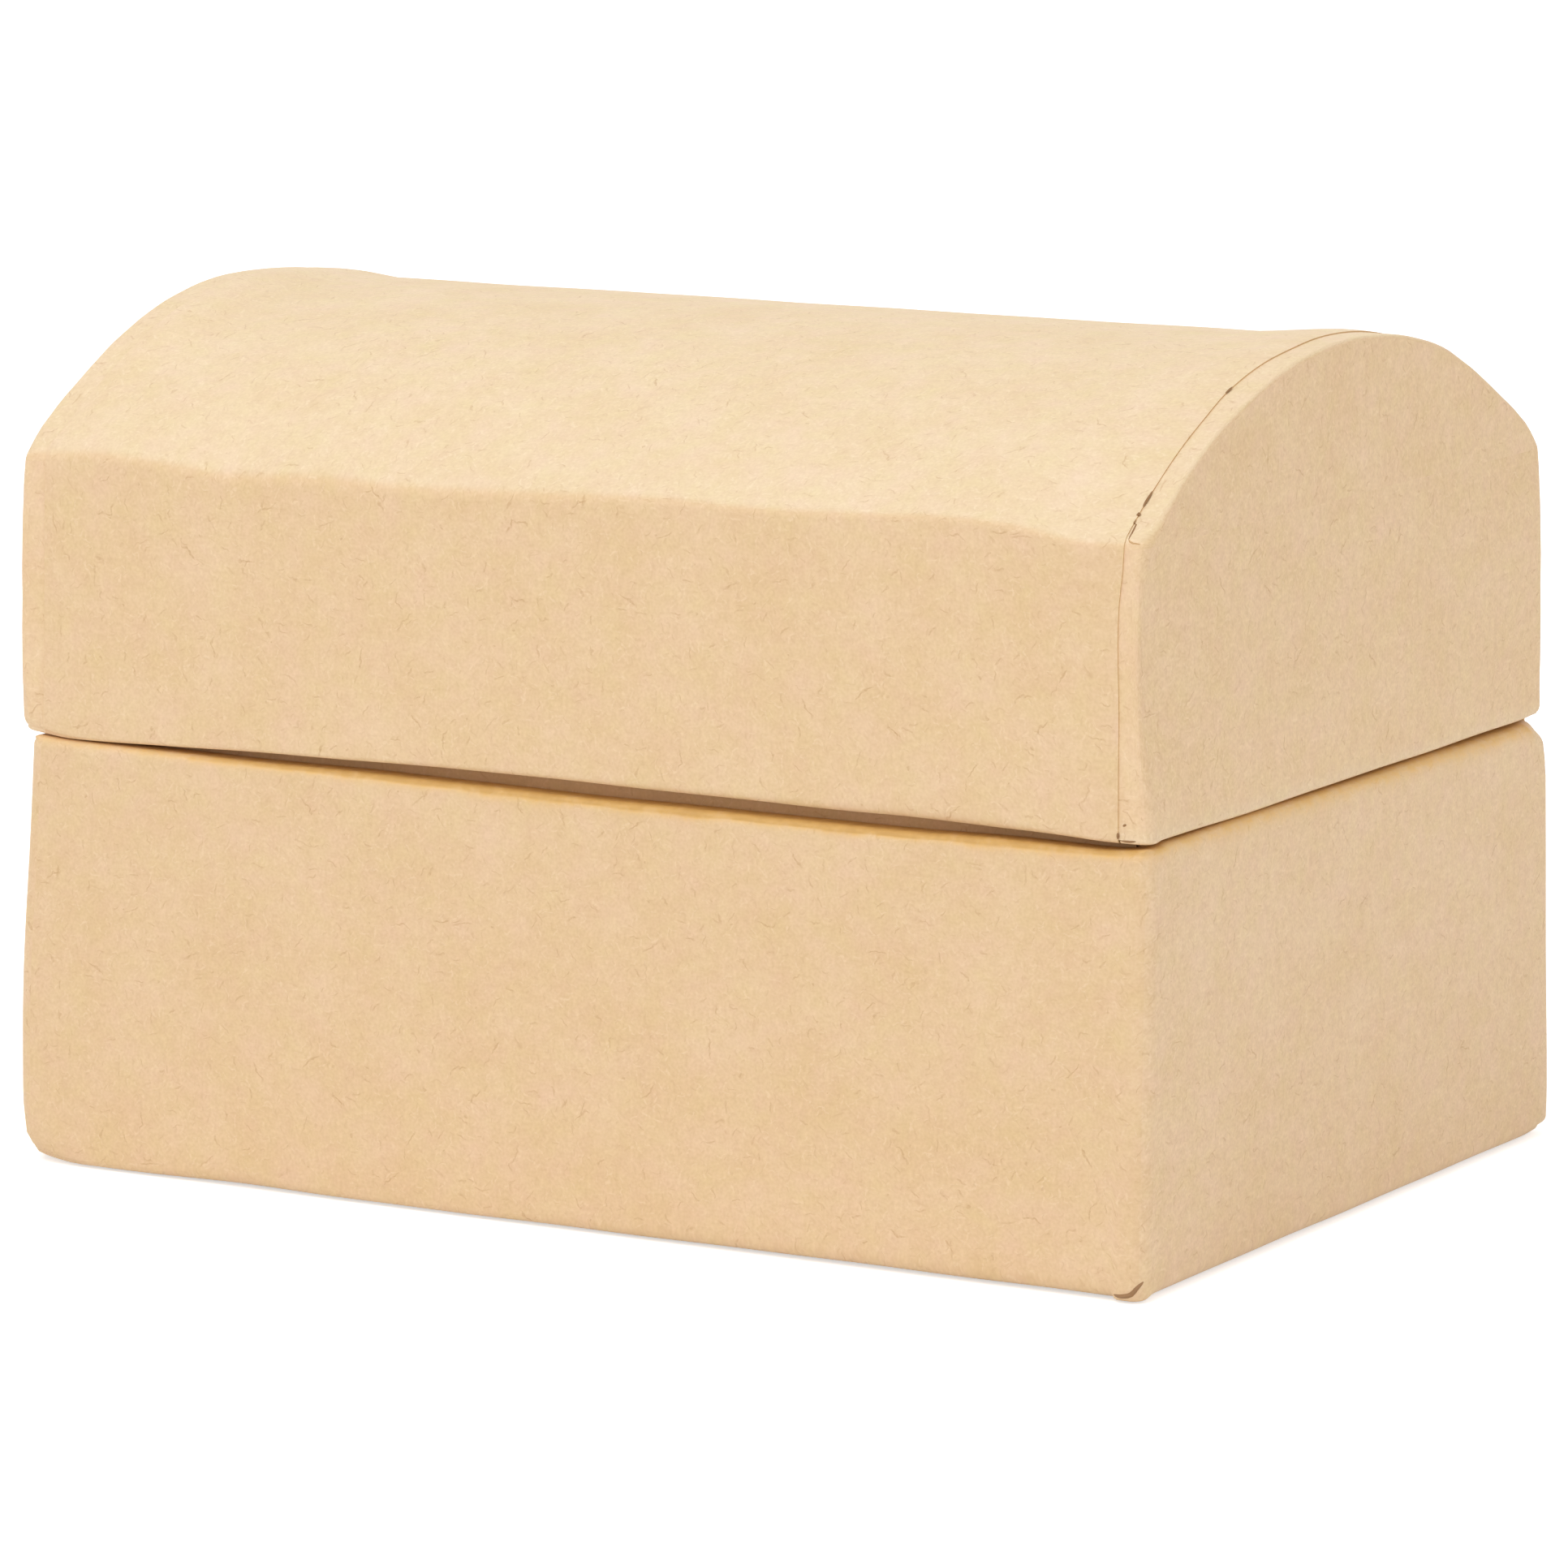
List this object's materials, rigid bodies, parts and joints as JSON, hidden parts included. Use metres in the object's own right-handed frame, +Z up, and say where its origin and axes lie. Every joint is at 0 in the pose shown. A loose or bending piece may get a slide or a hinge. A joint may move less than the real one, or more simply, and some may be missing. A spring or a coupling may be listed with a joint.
{
  "type": "treasure chest box",
  "caption": "Small kraft-paper covered paperboard chest: a straight-sided base with an inner collar and a shallow domed lid that swings on a paper hinge along the back.",
  "frame": {"origin": "under the middle of the closed chest, on the surface that it stands on", "axes": "+X along the chest towards its right end, +Y towards the hinged back, +Z up"},
  "size_m": [0.121, 0.0826, 0.0815],
  "materials": {
    "greyboard": "matt, pressed grey-brown fibre",
    "kraft_cover": "matt natural kraft with short fibres",
    "kraft_lining": "matt natural kraft with short fibres",
    "kraft_card": "matt natural kraft",
    "gummed_paper": "matt brown gummed paper"
  },
  "bodies": {
    "base": {"base_floor_board": "greyboard", "base_front_board": "greyboard", "base_back_board": "greyboard", "base_left_board": "greyboard", "base_right_board": "greyboard", "base_corner_stays": "gummed_paper", "base_wrap": "kraft_cover", "base_bottom_sheet": "kraft_cover", "base_floor_lining": "kraft_lining", "neck_front_board": "kraft_card", "neck_left_board": "kraft_card", "neck_right_board": "kraft_card", "hinge_lower_leaf": "kraft_cover"},
    "lid": {"lid_front_board": "greyboard", "lid_back_board": "greyboard", "lid_left_end_board": "greyboard", "lid_right_end_board": "greyboard", "lid_dome_board": "greyboard", "lid_left_end_paper": "kraft_cover", "lid_right_end_paper": "kraft_cover", "lid_cover_sheet": "kraft_cover", "lid_lining_sheet": "kraft_lining", "lid_left_end_lining": "kraft_lining", "lid_right_end_lining": "kraft_lining", "hinge_upper_leaf": "kraft_cover"}
  },
  "joints": [
    {"name": "lid_hinge", "type": "hinge", "parent": "base", "child": "lid", "pos_m": [0, 0.0415, 0.04135], "axis": [-1, 0, 0], "range_deg": [0, 175]}
  ]
}
